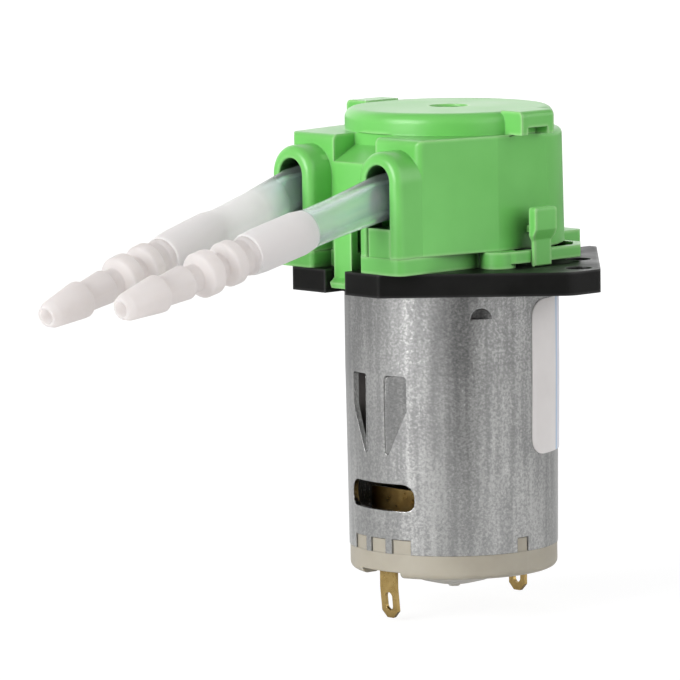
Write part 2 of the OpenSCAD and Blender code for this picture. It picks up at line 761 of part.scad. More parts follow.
module motor_can() {
    foot_r = can_r - can_taper / 2;
    color([0.72, 0.72, 0.71]) {
        difference() {
            union() {
                rotate_extrude() polygon(outline([[bearing_r, front_z, 0], [can_in, front_z, 0.5],
                    [can_in, -can_len, 0], [foot_r, -can_len, 0], [can_r, neck_z, 0], [can_r, seat_t, 0.7],
                    [boss_r, seat_t, 0], [boss_r, boss_h, 0.3], [bearing_r - 0.8, boss_h, 0],
                    [bearing_r - 0.8, boss_h - 0.4, 0], [bearing_r, boss_h - 0.4, 0]], 4));
                // skin behind each pressed-in half ball
                intersection() {
                    for (a = lance_angles) half_ball(a, lance_r + 0.5);
                    disc(can_in + 0.1, lance_z - 1, front_z);
                }
            }
            both_sides() translate([motor_screw_spacing / 2, 0, 0]) disc(screw_r, front_z - cut, seat_t + cut);
            for (flip = [0, 180]) rotate(flip) {
                wall_cut([[-vent_half, vent_z0, 1.2], [vent_half, vent_z0, 1.2], [vent_half, vent_z1, 1.6],
                    [-vent_half, vent_z1, 1.6]]);
                wall_cut(window(window_in, 0));
                mirror([1, 0, 0]) wall_cut(window(window_in, 0));
                foot_cuts(0);
            }
            for (a = lance_angles) half_ball(a, lance_r);
        }
        for (flip = [0, 180]) rotate(flip) both_sides() tongue();
    }
}

module field_magnets() {
    z0 = core_z - 2.5;
    color([0.22, 0.22, 0.23]) for (flip = [0, 180]) rotate(flip - magnet_half)
        rotate_extrude(angle = 2 * magnet_half) polygon([[magnet_r, z0], [can_in - 0.03, z0],
            [can_in - 0.03, z0 + core_len + 5], [magnet_r, z0 + core_len + 5]]);
}

bell_r = can_r - can_taper / 2 - 0.1;
rim_cut_half = 3.5;    // half the width of the rim's recess at each terminal

module end_bell() {
    color([0.86, 0.83, 0.75]) difference() {
        union() {
            rotate_extrude() polygon(outline([[0, -can_len + 1.4, 0], [can_in - 0.05, -can_len + 1.4, 0],
                [can_in - 0.05, -can_len, 0], [bell_r, -can_len, 0], [bell_r, bell_z, 0.8],
                [11, bell_z, 0.3], [10.7, bell_z + 0.8, 0], [7.4, bell_z + 0.8, 0], [7.1, bell_z, 0.5],
                [4.6, bell_z - 1.7, 0.8], [2.2, bell_boss_z, 0.6], [0.9, bell_boss_z - 0.1, 0],
                [0.7, bell_nub_z, 0.2], [0, bell_nub_z, 0]], 5));
            // keys that fill the notches of the can
            for (flip = [0, 180]) rotate(flip) intersection() {
                foot_cuts(0.1);
                ring(bell_r - 0.1, can_in - 1, -can_len - cut, -can_len + 2);
            }
        }
        disc(bearing_r - 0.4, bell_z - 1.6, -can_len + 2);
        disc(shaft_r + 0.3, bell_boss_z + 0.6, bell_z);
        for (flip = [0, 180]) rotate(flip) {
            block(-rim_cut_half, rim_cut_half, -can_r, -10, bell_z - 1, bell_z + 0.8);
            block(-terminal_w / 2 - 0.05, terminal_w / 2 + 0.05, -terminal_y - terminal_t / 2 - 0.05,
                -terminal_y + terminal_t / 2 + 0.05, bell_z - 3, -can_len + 2);
        }
    }
}

// Solder terminal with a long eye and a clipped tip, its end may be bent outwards
module terminal(len, bend) {
    z_tip = -can_len - len;
    z_bend = bell_z - 1.6;
    half = terminal_w / 2;
    eye_z = z_tip + 2.2;
    color([0.74, 0.60, 0.33]) {
        block(-half, half, -terminal_y - terminal_t / 2, -terminal_y + terminal_t / 2, z_bend, -can_len + 2);
        translate([0, -terminal_y, z_bend]) rotate([-bend, 0, 0]) translate([0, 0, -z_bend])
            rotate([90, 0, 0]) linear_extrude(terminal_t, center = true) difference() {
                polygon([[-half, z_bend + cut], [-half, z_tip + 0.9], [-half + 0.9, z_tip], [half - 0.9, z_tip],
                    [half, z_tip + 0.9], [half, z_bend + cut]]);
                union() {
                    translate([0, eye_z - 0.55]) circle(r = 0.65, $fn = 32);
                    translate([0, eye_z + 0.55]) circle(r = 0.65, $fn = 32);
                    translate([-0.65, eye_z - 0.55]) square([1.3, 1.1]);
                }
            }
    }
}

module terminal_front() { terminal(terminal_len, -6); }
module terminal_rear() { rotate(180) terminal(terminal_len - 0.8, 0); }

module brush_arms() {
    color([0.80, 0.62, 0.30]) for (flip = [0, 180]) rotate(flip) {
        block(-1.5, 1.5, -terminal_y + terminal_t / 2 + 0.02, -brush_y, -can_len + 1.42, -can_len + 1.72);
        block(-leaf_half, leaf_half, -brush_y - 0.3, -brush_y, -can_len + 1.42, leaf_z);
    }
}

module carbon_brushes() {
    color([0.16, 0.15, 0.15]) for (flip = [0, 180]) rotate(flip)
        block(-1.6, 1.6, -brush_y + 0.01, -comm_r - 0.06, comm_z + 0.3, leaf_z - 0.1);
}

module motor_screws() {
    color([0.62, 0.62, 0.63]) both_sides() translate([motor_screw_spacing / 2, 0, 0]) difference() {
        union() {
            disc(screw_r - 0.03, front_z - 0.6, plate_t - 0.1);
            disc(screw_head_r, plate_t - screw_head_t, plate_t - 0.1);
        }
        block(-0.3, 0.3, -1.7, 1.7, plate_t - 0.6, plate_t);
        block(-1.7, 1.7, -0.3, 0.3, plate_t - 0.6, plate_t);
    }
}

// Bare sticker wrapped round the can, which tapers below the neck
label_mid = 35;
label_half = 7.1;
label_z0 = -0.639 * can_len;
label_z1 = -1.7;

function can_side(z) = can_r - can_taper / 2 * max(0, (z - neck_z) / (-can_len - neck_z));

module bare_label() {
    color([0.95, 0.95, 0.95]) intersection() {
        rotate_extrude() polygon([for (p = [[0.14, label_z0 - 1], [0.14, neck_z], [0.14, label_z1 + 1],
            [0.02, label_z1 + 1], [0.02, neck_z], [0.02, label_z0 - 1]]) [can_side(p[1]) + p[0], p[1]]]);
        rotate([0, 0, label_mid]) rotate([90, 0, 90]) linear_extrude(can_r + 2)
            polygon(outline([[-label_half, label_z0, 2], [label_half, label_z0, 2],
                [label_half, label_z1, 2], [-label_half, label_z1, 2]], 5));
    }
}

mounting_plate();
pump_base();
pump_cover();
pump_tube();
near_connector();
far_connector();
latch_right();
latch_left();
carrier_lower();
carrier_upper();
roller_pins();
roller_1();
roller_2();
roller_3();
drive_roller();
motor_shaft();
armature_core();
armature_windings();
commutator();
shaft_washers();
front_bearing();
rear_bearing();
motor_can();
field_magnets();
end_bell();
terminal_front();
terminal_rear();
brush_arms();
carbon_brushes();
motor_screws();
bare_label();
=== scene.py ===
import json
from math import cos, pi, radians, sin

import bpy
import bmesh
from mathutils import Matrix, Vector


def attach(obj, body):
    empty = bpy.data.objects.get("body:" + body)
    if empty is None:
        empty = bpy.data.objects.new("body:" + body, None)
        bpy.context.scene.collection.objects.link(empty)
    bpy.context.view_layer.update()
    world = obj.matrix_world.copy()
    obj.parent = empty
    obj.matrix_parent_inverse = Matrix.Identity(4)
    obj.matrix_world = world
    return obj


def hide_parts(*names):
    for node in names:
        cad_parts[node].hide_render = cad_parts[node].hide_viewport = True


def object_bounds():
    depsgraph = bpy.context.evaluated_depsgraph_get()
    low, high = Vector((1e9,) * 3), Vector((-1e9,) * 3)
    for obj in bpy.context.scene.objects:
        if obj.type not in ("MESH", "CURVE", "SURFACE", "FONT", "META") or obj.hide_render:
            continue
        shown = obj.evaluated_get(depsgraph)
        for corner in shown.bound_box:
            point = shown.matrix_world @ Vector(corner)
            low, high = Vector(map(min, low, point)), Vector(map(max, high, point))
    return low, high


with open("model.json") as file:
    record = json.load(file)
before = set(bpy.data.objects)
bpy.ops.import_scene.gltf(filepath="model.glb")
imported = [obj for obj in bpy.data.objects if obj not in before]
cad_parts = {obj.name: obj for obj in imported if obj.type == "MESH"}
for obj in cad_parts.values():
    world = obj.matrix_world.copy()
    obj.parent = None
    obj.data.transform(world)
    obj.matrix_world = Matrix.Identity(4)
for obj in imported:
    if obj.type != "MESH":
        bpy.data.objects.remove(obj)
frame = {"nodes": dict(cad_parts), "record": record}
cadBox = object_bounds()
cadNodes = frame["nodes"]
slotOf = {part["node"]: part["material_slot"] for part in frame["record"]["subparts"]}
mm = 0.001


def direction(azimuth, elevation):
    # unit vector, with azimuth 0 to the front
    az, el = radians(azimuth), radians(elevation)
    return Vector((sin(az) * cos(el), -cos(az) * cos(el), sin(el)))


# Camera, fitted to the photograph: angles in degrees, distance and sensor in mm, frame and axisOffset in pixels,
# clip in metres

viewFit = {
    "azimuth": 47.1, "elevation": 6.95, "roll": 0.8, "distance": 750.0, "pixelsPerMm": 7.706, "frame": 680,
    "axisOffset": (110.8, -59.8), "sensor": 36.0, "clip": (0.05, 10),
}


def makeCamera(fit):
    az, roll = radians(fit["azimuth"]), radians(fit["roll"])
    toCamera = direction(fit["azimuth"], fit["elevation"])
    right = Vector((cos(az), sin(az), 0))
    up = toCamera.cross(right)
    # the origin's pixel offset from the picture's centre, turned back by the roll
    dx, dy = fit["axisOffset"]
    across = dx * cos(roll) - dy * sin(roll)
    along = dx * sin(roll) + dy * cos(roll)
    aim = (right * -across + up * along) / fit["pixelsPerMm"]
    place = (aim + toCamera * fit["distance"]) * mm
    camData = bpy.data.cameras.new("camera")
    camData.sensor_width = fit["sensor"]
    camData.lens = fit["pixelsPerMm"] * fit["distance"] / fit["frame"] * fit["sensor"]
    camData.clip_start, camData.clip_end = fit["clip"]
    cam = bpy.data.objects.new("camera", camData)
    turn = Matrix((right, up, toCamera)).transposed().to_4x4() @ Matrix.Rotation(-roll, 4, "Z")
    cam.matrix_world = Matrix.Translation(place) @ turn
    bpy.context.scene.collection.objects.link(cam)
    bpy.context.scene.camera = cam


makeCamera(viewFit)
bpy.context.scene.view_settings.view_transform = "Standard"
print("camera placed")


# Helpers for node materials

def startMaterial(name):
    mat = bpy.data.materials.new(name)
    mat.use_nodes = True
    tree = mat.node_tree
    shader = tree.nodes["Principled BSDF"]
    return mat, tree, shader


def put(tree, kind, **values):
    # new node, whose values go to the sockets of that name or to its own settings
    node = tree.nodes.new(kind)
    for key, value in values.items():
        if key in node.inputs.keys():
            node.inputs[key].default_value = value
        else:
            setattr(node, key, value)
    return node


def objectCoords(tree, scale=(1, 1, 1)):
    coords = put(tree, "ShaderNodeTexCoord")
    mapping = put(tree, "ShaderNodeMapping", Scale=scale)
    tree.links.new(coords.outputs["Object"], mapping.inputs["Vector"])
    return mapping.outputs["Vector"]


def noise(tree, vector, scale, detail=4.0, rough=0.55):
    tex = put(tree, "ShaderNodeTexNoise", Scale=scale, Detail=detail, Roughness=rough)
    tree.links.new(vector, tex.inputs["Vector"])
    return tex.outputs["Fac"]


def ramp(tree, fac, stops):
    node = put(tree, "ShaderNodeValToRGB")
    elements = node.color_ramp.elements
    while len(elements) < len(stops):
        elements.new(0.5)
    for element, (place, colour) in zip(elements, stops):
        element.position = place
        element.color = (*colour, 1)
    tree.links.new(fac, node.inputs["Fac"])
    return node.outputs["Color"]


def remap(tree, fac, low, high, fromLow=0.3, fromHigh=0.7):
    # takes fromLow to low and fromHigh to high, and holds there
    node = put(tree, "ShaderNodeMapRange")
    node.inputs["From Min"].default_value = fromLow
    node.inputs["From Max"].default_value = fromHigh
    node.inputs["To Min"].default_value = low
    node.inputs["To Max"].default_value = high
    tree.links.new(fac, node.inputs["Value"])
    return node.outputs["Result"]


def softEdges(tree, shader, radius, height=None, bump=None):
    # rounds the sharp edges in the shading, with a fine bump on top: its strength and height
    edge = put(tree, "ShaderNodeBevel", samples=6, Radius=radius)
    normal = edge.outputs["Normal"]
    if height is not None:
        bump = put(tree, "ShaderNodeBump", Strength=bump[0], Distance=bump[1])
        tree.links.new(height, bump.inputs["Height"])
        tree.links.new(normal, bump.inputs["Normal"])
        normal = bump.outputs["Normal"]
    tree.links.new(normal, shader.inputs["Normal"])


def edgeShare(tree, reach, thin=0.45, broad=0.97):
    # 1 on outward edges and thin lips, 0 on broad faces
    inside = put(tree, "ShaderNodeAmbientOcclusion", samples=6, inside=True, only_local=True, Distance=reach)
    return remap(tree, inside.outputs["AO"], 1, 0, thin, broad)


def openShare(tree, reach, closed, opened):
    # 0 deep inside slots and gaps, 1 in the open
    outside = put(tree, "ShaderNodeAmbientOcclusion", samples=8, Distance=reach)
    return remap(tree, outside.outputs["AO"], 0, 1, closed, opened)


def blend(tree, fac, first, second):
    # colour mix of two sockets or plain colours; the node's sockets 6 and 7 take colours, its output 2 gives one
    node = put(tree, "ShaderNodeMix", data_type="RGBA")
    tree.links.new(fac, node.inputs["Factor"])
    for place, value in ((6, first), (7, second)):
        if isinstance(value, tuple):
            node.inputs[place].default_value = (*value, 1)
        else:
            tree.links.new(value, node.inputs[place])
    return node.outputs[2]


def mixShaders(tree, fac, first, second):
    # fac is a socket or a plain number
    node = put(tree, "ShaderNodeMixShader")
    if isinstance(fac, float):
        node.inputs["Fac"].default_value = fac
    else:
        tree.links.new(fac, node.inputs["Fac"])
    tree.links.new(first, node.inputs[1])
    tree.links.new(second, node.inputs[2])
    return node.outputs["Shader"]


def dress(obj, material):
    # the material on every slot of a CAD piece
    if not obj.data.materials:
        obj.data.materials.append(material)
    for index in range(len(obj.data.materials)):
        obj.data.materials[index] = material


def shadeSmooth(obj, angle=32):
    # smooth faces, with edges kept sharp above the angle
    mesh = obj.data
    mesh.polygons.foreach_set("use_smooth", [True] * len(mesh.polygons))
    sharp = [False] * len(mesh.edges)
    bm = bmesh.new()
    bm.from_mesh(mesh)
    for edge in bm.edges:
        if len(edge.link_faces) == 2:
            sharp[edge.index] = edge.calc_face_angle(0) > radians(angle)
        else:
            sharp[edge.index] = True
    bm.free()
    attribute = mesh.attributes.get("sharp_edge") or mesh.attributes.new("sharp_edge", "BOOLEAN", "EDGE")
    attribute.data.foreach_set("value", sharp)


# Moulded plastics. Each look has two tones with the scale of the clouds between them, and the scale and bump of a
# fine grain

greenLook = {
    "deep": (0.150, 0.525, 0.106), "light": (0.182, 0.600, 0.134), "clouds": 90,
    # the paler edge colour on the next line is painted light for edges and thin lips
    "rim": (0.37, 0.70, 0.29), "rimReach": 0.5 * mm,
    # near black painted into slots, gaps and recesses as painted shade, over this reach
    "inside": (0.012, 0.030, 0.010), "paintedShadeReach": 5 * mm, "inShadow": (0.12, 0.40),
    "roughness": (0.28, 0.38), "specular": 0.5, "edge": 0.28 * mm, "grain": 2600, "bump": (0.06, 0.05 * mm),
}


def makeGreen(look):
    mat, tree, shader = startMaterial("greenMoulded")
    vector = objectCoords(tree)
    clouds = noise(tree, vector, look["clouds"], 3)
    grain = noise(tree, vector, look["grain"], 2)
    body = ramp(tree, clouds, [(0.3, look["deep"]), (0.7, look["light"])])
    # painted light: thin lips and outward edges are painted a paler green, standing in for light that shines
    # through them
    lit = blend(tree, edgeShare(tree, look["rimReach"]), body, look["rim"])
    # painted shade: slots, gaps and recesses are painted near black where little light gets in
    colour = blend(tree, openShare(tree, look["paintedShadeReach"], *look["inShadow"]), look["inside"], lit)
    tree.links.new(colour, shader.inputs["Base Color"])
    tree.links.new(remap(tree, clouds, *look["roughness"]), shader.inputs["Roughness"])
    shader.inputs["Specular IOR Level"].default_value = look["specular"]
    softEdges(tree, shader, look["edge"], grain, look["bump"])
    return mat


blackLook = {
    "deep": (0.0045, 0.0045, 0.0042), "light": (0.0085, 0.0085, 0.008), "clouds": 160,
    "roughness": (0.34, 0.5), "specular": (0.16, 0.75), "rimReach": 0.4 * mm,
    "edge": 0.22 * mm, "grain": 4200, "bump": (0.15, 0.06 * mm),
}


def makeBlack(look):
    mat, tree, shader = startMaterial("blackMoulded")
    vector = objectCoords(tree)
    clouds = noise(tree, vector, look["clouds"], 4)
    grain = noise(tree, vector, look["grain"], 2)
    tree.links.new(ramp(tree, clouds, [(0.3, look["deep"]), (0.7, look["light"])]), shader.inputs["Base Color"])
    tree.links.new(remap(tree, clouds, *look["roughness"]), shader.inputs["Roughness"])
    shine = remap(tree, edgeShare(tree, look["rimReach"]), *look["specular"], 0, 1)
    tree.links.new(shine, shader.inputs["Specular IOR Level"])
    softEdges(tree, shader, look["edge"], grain, look["bump"])
    return mat


ivoryLook = {
    "deep": (0.335, 0.303, 0.243), "light": (0.415, 0.383, 0.313), "clouds": 120,
    # the paler dome colour on the next line is painted light
    "thin": (0.60, 0.585, 0.555), "thinFrom": -37.0 * mm, "thinTo": -38.0 * mm, "thinShare": 0.85,
    "roughness": (0.38, 0.5), "scatter": 0.15, "scatterColour": (1, 0.8, 0.5), "scatterReach": 1 * mm,
    "edge": 0.2 * mm, "grain": 3000, "bump": (0.08, 0.05 * mm),
}


def scatter(shader, look):
    # light that enters the plastic and comes out near by
    shader.inputs["Subsurface Weight"].default_value = look["scatter"]
    shader.inputs["Subsurface Radius"].default_value = look["scatterColour"]
    shader.inputs["Subsurface Scale"].default_value = look["scatterReach"]


def makeIvory(look):
    mat, tree, shader = startMaterial("ivoryMoulded")
    vector = objectCoords(tree)
    clouds = noise(tree, vector, look["clouds"], 4)
    body = ramp(tree, clouds, [(0.3, look["deep"]), (0.7, look["light"])])
    # painted light: the thin dome is painted paler than the walls, as light shining through it would make it
    split = put(tree, "ShaderNodeSeparateXYZ")
    tree.links.new(vector, split.inputs["Vector"])
    thin = remap(tree, split.outputs["Z"], 0, look["thinShare"], look["thinFrom"], look["thinTo"])
    tree.links.new(blend(tree, thin, body, look["thin"]), shader.inputs["Base Color"])
    tree.links.new(remap(tree, clouds, *look["roughness"]), shader.inputs["Roughness"])
    scatter(shader, look)
    softEdges(tree, shader, look["edge"], noise(tree, vector, look["grain"], 2), look["bump"])
    return mat


milkyLook = {
    "deep": (0.78, 0.75, 0.74), "light": (0.86, 0.83, 0.82), "clouds": 220,
    "through": (0.88, 0.85, 0.84), "share": 0.5, "roughness": 0.5, "specular": 0.25,
    "scatter": 0.9, "scatterColour": (1, 0.95, 0.9), "scatterReach": 3 * mm,
    "edge": 0.2 * mm, "grain": 900, "bump": (0.1, 0.1 * mm),
}


def makeMilky(look):
    mat, tree, shader = startMaterial("milkyMoulded")
    vector = objectCoords(tree)
    clouds = noise(tree, vector, look["clouds"], 4)
    tree.links.new(ramp(tree, clouds, [(0.3, look["deep"]), (0.7, look["light"])]), shader.inputs["Base Color"])
    shader.inputs["Roughness"].default_value = look["roughness"]
    shader.inputs["Specular IOR Level"].default_value = look["specular"]
    scatter(shader, look)
    softEdges(tree, shader, look["edge"], noise(tree, vector, look["grain"], 3), look["bump"])
    through = put(tree, "ShaderNodeBsdfTranslucent", Color=(*look["through"], 1))
    mix = mixShaders(tree, look["share"], shader.outputs["BSDF"], through.outputs["BSDF"])
    tree.links.new(mix, tree.nodes["Material Output"].inputs["Surface"])
    return mat


whiteLook = {
    "deep": (0.744, 0.744, 0.716), "light": (0.80, 0.80, 0.77), "clouds": 150, "roughness": 0.4, "edge": 0.15 * mm,
}


def makeWhite(look):
    mat, tree, shader = startMaterial("whiteMoulded")
    vector = objectCoords(tree)
    clouds = noise(tree, vector, look["clouds"], 3)
    tree.links.new(ramp(tree, clouds, [(0.3, look["deep"]), (0.7, look["light"])]), shader.inputs["Base Color"])
    shader.inputs["Roughness"].default_value = look["roughness"]
    softEdges(tree, shader, look["edge"])
    return mat


siliconeLook = {
    "clear": (0.87, 0.96, 0.91), "streak": (0.60, 0.81, 0.80), "shade": (0.39, 0.60, 0.55),
    "streaks": 1.6, "streakTo": 0.42, "clearFrom": 0.58, "roughness": 0.27, "ior": 1.41, "transmission": 0.97,
    "haze": (0.94, 0.925, 0.925), "skinShare": 0.38, "skinRoughness": 0.5,
}


def makeSilicone(look):
    # the mesh carries the milkiness, the painted shade near the ports and a vector that runs round and along the
    # tube
    mat, tree, shader = startMaterial("clearSilicone")
    wrap = put(tree, "ShaderNodeAttribute", attribute_name="wrap")
    streaks = noise(tree, wrap.outputs["Vector"], look["streaks"], 3, 0.5)
    clear = ramp(tree, streaks, [(look["streakTo"], look["streak"]), (look["clearFrom"], look["clear"])])
    shade = put(tree, "ShaderNodeAttribute", attribute_name="shade")
    tree.links.new(blend(tree, shade.outputs["Fac"], clear, look["shade"]), shader.inputs["Base Color"])
    shader.inputs["Roughness"].default_value = look["roughness"]
    shader.inputs["IOR"].default_value = look["ior"]
    shader.inputs["Transmission Weight"].default_value = look["transmission"]
    milk = put(tree, "ShaderNodeBsdfTranslucent", Color=(*look["haze"], 1))
    skin = put(tree, "ShaderNodeBsdfDiffuse", Color=(*look["haze"], 1), Roughness=look["skinRoughness"])
    milky = mixShaders(tree, look["skinShare"], milk.outputs["BSDF"], skin.outputs["BSDF"])
    haze = put(tree, "ShaderNodeAttribute", attribute_name="haze")
    mix = mixShaders(tree, haze.outputs["Fac"], shader.outputs["BSDF"], milky)
    tree.links.new(mix, tree.nodes["Material Output"].inputs["Surface"])
    return mat


# Metals

zincLook = {
    "dark": (0.345, 0.347, 0.345), "mid": (0.45, 0.45, 0.445), "light": (0.585, 0.585, 0.575),
    "darkTo": 0.72, "midAt": 0.90, "lightFrom": 1.0, "grain": 2900, "clouds": 130, "cloudShare": 0.3,
    "drawMarks": 1100, "drawShare": 0.5, "stretched": 0.05, "roughness": (0.15, 0.28), "shineAt": (0.65, 1.15),
    "edge": 0.12 * mm, "bump": (0.2, 0.05 * mm),
    "pocketReach": 3 * mm, "pocket": (0.25, 0.60), "pocketMetal": 0.3,
}


def makeZinc(look):
    # drawn steel with a fine crystalline grain over faint clouds and draw marks
    mat, tree, shader = startMaterial("mottledZinc")
    vector = objectCoords(tree)
    cloud = noise(tree, vector, look["clouds"], 3, 0.5)
    value = noise(tree, vector, look["grain"], 4, 0.7)
    marks = noise(tree, objectCoords(tree, (1, 1, look["stretched"])), look["drawMarks"], 2, 0.5)
    for part, share in ((cloud, look["cloudShare"]), (marks, look["drawShare"])):
        add = put(tree, "ShaderNodeMath", operation="MULTIPLY_ADD")
        tree.links.new(part, add.inputs[0])
        add.inputs[1].default_value = share
        tree.links.new(value, add.inputs[2])
        value = add.outputs["Value"]
    stops = ((look["darkTo"], look["dark"]), (look["midAt"], look["mid"]), (look["lightFrom"], look["light"]))
    tree.links.new(ramp(tree, value, stops), shader.inputs["Base Color"])
    tree.links.new(remap(tree, value, *look["roughness"], *look["shineAt"]), shader.inputs["Roughness"])
    # painted light: inside the pressed pockets and windows the metal is made less metallic, so that these show lit
    # grey instead of dark
    opened = openShare(tree, look["pocketReach"], *look["pocket"])
    tree.links.new(remap(tree, opened, look["pocketMetal"], 1, 0, 1), shader.inputs["Metallic"])
    softEdges(tree, shader, look["edge"], value, look["bump"])
    return mat


metalLooks = {
    "pressedBrass": {
        "deep": (0.44, 0.30, 0.105), "light": (0.60, 0.43, 0.175), "clouds": 700, "roughness": (0.24, 0.38)},
    "woundCopper": {
        "deep": (0.42, 0.16, 0.05), "light": (0.66, 0.30, 0.12), "clouds": 1200, "roughness": (0.25, 0.4)},
    "groundSteel": {
        "deep": (0.50, 0.51, 0.53), "light": (0.64, 0.65, 0.67), "clouds": 1500, "roughness": (0.18, 0.3)},
    "coreSteel": {
        "deep": (0.24, 0.24, 0.25), "light": (0.36, 0.36, 0.37), "clouds": 900, "roughness": (0.35, 0.5)},
    "sinteredBronze": {
        "deep": (0.32, 0.23, 0.11), "light": (0.46, 0.34, 0.17), "clouds": 1800, "roughness": (0.4, 0.55)},
}
# painted shade deep inside the motor, then the soft edges and bump
metalShadeAndBevel = {
    "paintedShadeReach": 4 * mm, "inShadow": (0.2, 0.8), "paintedShadeShare": 0.3, "edge": 0.08 * mm, "bump": (0.1, 0.08 * mm),
}


def makeMetal(name):
    # painted shade: deep inside the motor the metal's colour is painted darker, where little light reaches
    look = metalLooks[name]
    mat, tree, shader = startMaterial(name)
    clouds = noise(tree, objectCoords(tree), look["clouds"], 5, 0.6)
    clean = ramp(tree, clouds, [(0.3, look["deep"]), (0.7, look["light"])])
    opened = openShare(tree, metalShadeAndBevel["paintedShadeReach"], *metalShadeAndBevel["inShadow"])
    paintedShade = tuple(metalShadeAndBevel["paintedShadeShare"] * share for share in look["deep"])
    tree.links.new(blend(tree, opened, paintedShade, clean), shader.inputs["Base Color"])
    tree.links.new(remap(tree, clouds, *look["roughness"]), shader.inputs["Roughness"])
    shader.inputs["Metallic"].default_value = 1
    softEdges(tree, shader, metalShadeAndBevel["edge"], clouds, metalShadeAndBevel["bump"])
    return mat


# Dull pieces inside the motor and the head

dullLooks = {
    "ferrite": {"deep": (0.075, 0.068, 0.064), "light": (0.11, 0.10, 0.095), "roughness": (0.45, 0.6)},
    "pressedCarbon": {"deep": (0.016, 0.015, 0.015), "light": (0.03, 0.028, 0.027), "roughness": (0.4, 0.6)},
    "driveRubber": {"deep": (0.06, 0.06, 0.062), "light": (0.09, 0.09, 0.092), "roughness": (0.5, 0.65)},
}
dullWear = {"clouds": 300, "edge": 0.1 * mm, "bump": (0.1, 0.06 * mm)}


def makeDull(name):
    look = dullLooks[name]
    mat, tree, shader = startMaterial(name)
    clouds = noise(tree, objectCoords(tree), dullWear["clouds"], 4)
    tree.links.new(ramp(tree, clouds, [(0.3, look["deep"]), (0.7, look["light"])]), shader.inputs["Base Color"])
    tree.links.new(remap(tree, clouds, *look["roughness"]), shader.inputs["Roughness"])
    softEdges(tree, shader, dullWear["edge"], clouds, dullWear["bump"])
    return mat


# Label; lineFrom and lineTo are degrees round the can

labelLook = {
    "deep": (0.70, 0.67, 0.66), "light": (0.75, 0.72, 0.71), "clouds": 200, "roughness": 0.34,
    "tint": (0.71, 0.72, 0.79), "line": (0.44, 0.56, 0.72), "lineFrom": 29.5, "lineTo": 33.0, "blur": 0.01,
}


def makeLabel(look):
    # plain sticker with a tinted half beyond one pale blue line, nothing printed on it
    mat, tree, shader = startMaterial("labelFilm")
    vector = objectCoords(tree)
    split = put(tree, "ShaderNodeSeparateXYZ")
    tree.links.new(vector, split.inputs["Vector"])
    turn = put(tree, "ShaderNodeMath", operation="ARCTAN2")
    tree.links.new(split.outputs["Y"], turn.inputs[0])
    tree.links.new(split.outputs["X"], turn.inputs[1])
    shade = ramp(tree, noise(tree, vector, look["clouds"], 3), [(0.3, look["deep"]), (0.7, look["light"])])
    for start, beyond in ((radians(look["lineFrom"]), look["line"]), (radians(look["lineTo"]), look["tint"])):
        share = remap(tree, turn.outputs["Value"], 0, 1, start, start + look["blur"])
        shade = blend(tree, share, shade, beyond)
    tree.links.new(shade, shader.inputs["Base Color"])
    shader.inputs["Roughness"].default_value = look["roughness"]
    return mat


finishes = {
    "green_plastic": makeGreen(greenLook),
    "black_plastic": makeBlack(blackLook),
    "ivory_plastic": makeIvory(ivoryLook),
    "milky_plastic": makeMilky(milkyLook),
    "white_plastic": makeWhite(whiteLook),
    "silicone": makeSilicone(siliconeLook),
    "zinc_steel": makeZinc(zincLook),
    "brass": makeMetal("pressedBrass"),
    "copper": makeMetal("woundCopper"),
    "ground_steel": makeMetal("groundSteel"),
    "core_steel": makeMetal("coreSteel"),
    "bronze": makeMetal("sinteredBronze"),
    "ferrite": makeDull("ferrite"),
    "carbon": makeDull("pressedCarbon"),
    "drive_rubber": makeDull("driveRubber"),
    "label": makeLabel(labelLook),
}
for nodeName, slotName in slotOf.items():
    dress(cadNodes[nodeName], finishes[slotName])
    shadeSmooth(cadNodes[nodeName])
print("materials set on", len(slotOf), "nodes")


# Silicone tube, hollow outside the race; the ports, directions and radii are those of the CAD tube, in mm.
# stations are distances back from the tube's end

tubeRun = {
    "port": (8.1, -20.6, 12.6),
    "near": {"swing": 1.0, "drop": 12.95, "length": 23.0, "milkyEnd": 9.9, "milkyFade": 0.4},
    "far": {"swing": 5.2, "drop": 14.8, "length": 24.6, "milkyEnd": 17.5, "milkyFade": 5.0},
    "radius": 2.5, "bore": 1.5, "stretch": 0.328, "stemBore": 2.04, "stemEnd": 10.6, "stemTaper": 2.0,
    "lip": 0.55, "lipLength": 2.0, "lipRound": 0.12, "hoodHalf": (2.0, 2.95), "flareLength": 8, "portGap": 0.4,
    "stations": (0, 0.12, 0.5, 1.2, 2, 3.5, 5, 6.8, 8.6, 9.3, 9.9, 10.3, 11, 12, 13.5, 15, 16.5, 17.5, 18.5, 19.5,
                 20.5, 21.4, 22.2, 23, 23.8),
    "haze": (0.13, 0.90), "insideHaze": 0.1, "shadeLength": 3.2, "boreRings": 4,
    "raceRadius": 12.4, "raceHeight": 13.2, "raceHalf": (0.85, 3.5), "raceStart": -17.0, "raceSteps": 48,
    "squeezedBore": 0.05, "sides": 48, "streakPitch": 0.03,
}


def share01(value):
    return max(0.0, min(1.0, value))


def circle(sides):
    return [(cos(2 * pi * k / sides), sin(2 * pi * k / sides)) for k in range(sides)]


